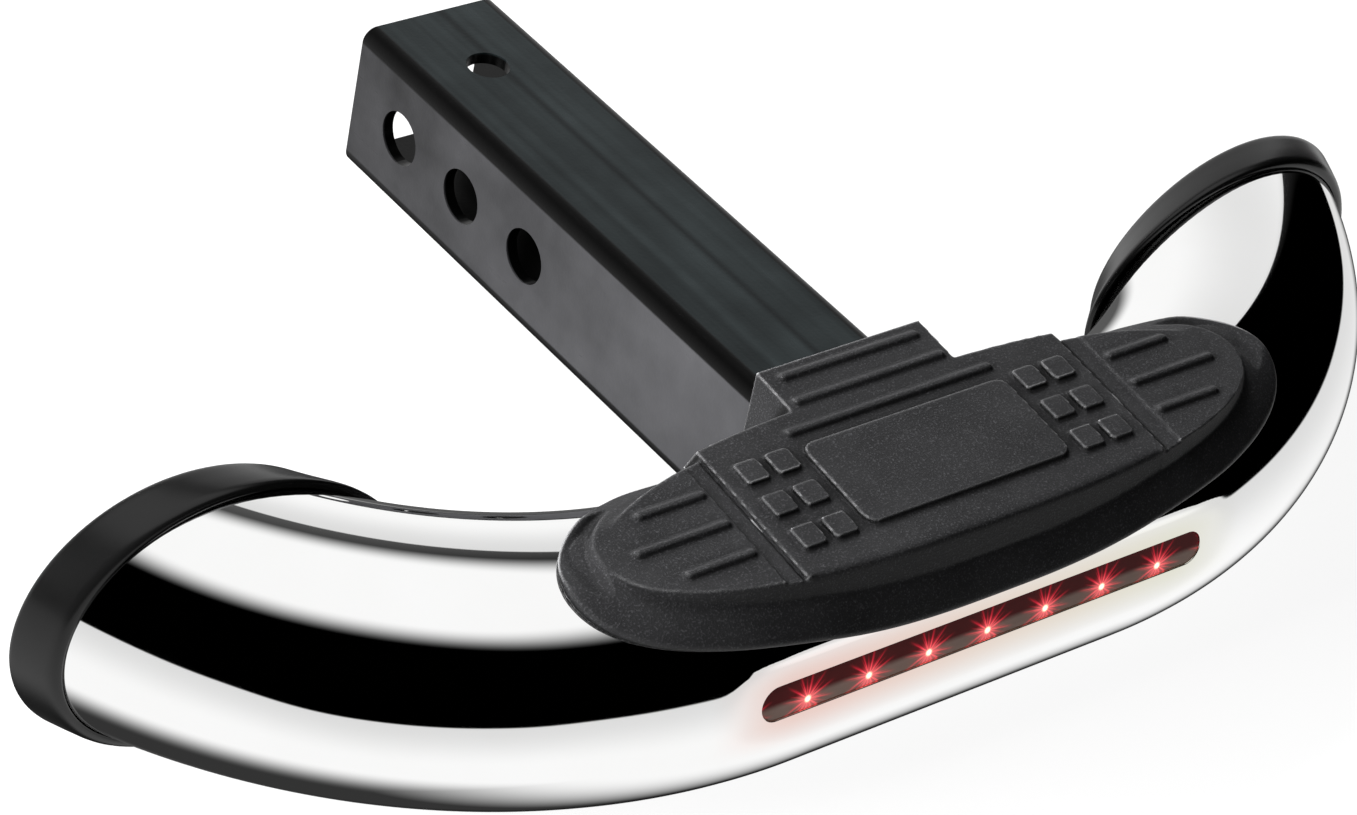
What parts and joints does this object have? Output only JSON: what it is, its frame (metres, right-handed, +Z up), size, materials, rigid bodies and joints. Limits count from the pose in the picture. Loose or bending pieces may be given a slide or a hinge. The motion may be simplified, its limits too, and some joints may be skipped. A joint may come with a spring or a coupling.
{
  "type": "hitch receiver step",
  "caption": "Curved chromed step bar with black end caps, a moulded tread pad and a red lamp strip, on a black square shank with side pin holes.",
  "frame": {"origin": "on the shank's axis, at the centre of the pin hole nearest its open end", "axes": "+X across the vehicle along the pin holes, +Y back along the shank towards the vehicle, +Z up"},
  "size_m": [0.5002, 0.2912, 0.0926],
  "materials": {
    "black_powder_coat": "satin black powder coat on steel",
    "chrome_plate": "bright chrome plate on steel tube",
    "cap_plastic": "smooth satin black moulded plastic",
    "pad_plastic": "fine-grained charcoal moulded plastic",
    "clip_nylon": "black nylon",
    "smoked_lens": "polished smoked red acrylic",
    "foam_gasket": "closed-cell foam with adhesive faces",
    "lamp_housing_plastic": "black moulded plastic",
    "circuit_board": "lacquered board with dark red solder resist",
    "red_lamp": "lit red light-emitting diodes",
    "resistor_body": "lacquered ceramic",
    "zinc_screw": "bright zinc plate",
    "soft_rubber": "moulded black rubber"
  },
  "bodies": {
    "root": {"shank_tube": "black_powder_coat", "step_bar": "chrome_plate", "weld_bead": "black_powder_coat", "left_end_cap": "cap_plastic", "right_end_cap": "cap_plastic", "step_pad": "pad_plastic", "pad_clips": "clip_nylon", "lamp_lens": "smoked_lens", "lamp_gasket": "foam_gasket", "lamp_housing": "lamp_housing_plastic", "lamp_board": "circuit_board", "led_1": "red_lamp", "led_2": "red_lamp", "led_3": "red_lamp", "led_4": "red_lamp", "led_5": "red_lamp", "led_6": "red_lamp", "led_7": "red_lamp", "lamp_resistors": "resistor_body", "board_screws": "zinc_screw", "lamp_wire_gland": "soft_rubber", "bar_wire_grommet": "soft_rubber"}
  },
  "joints": []
}
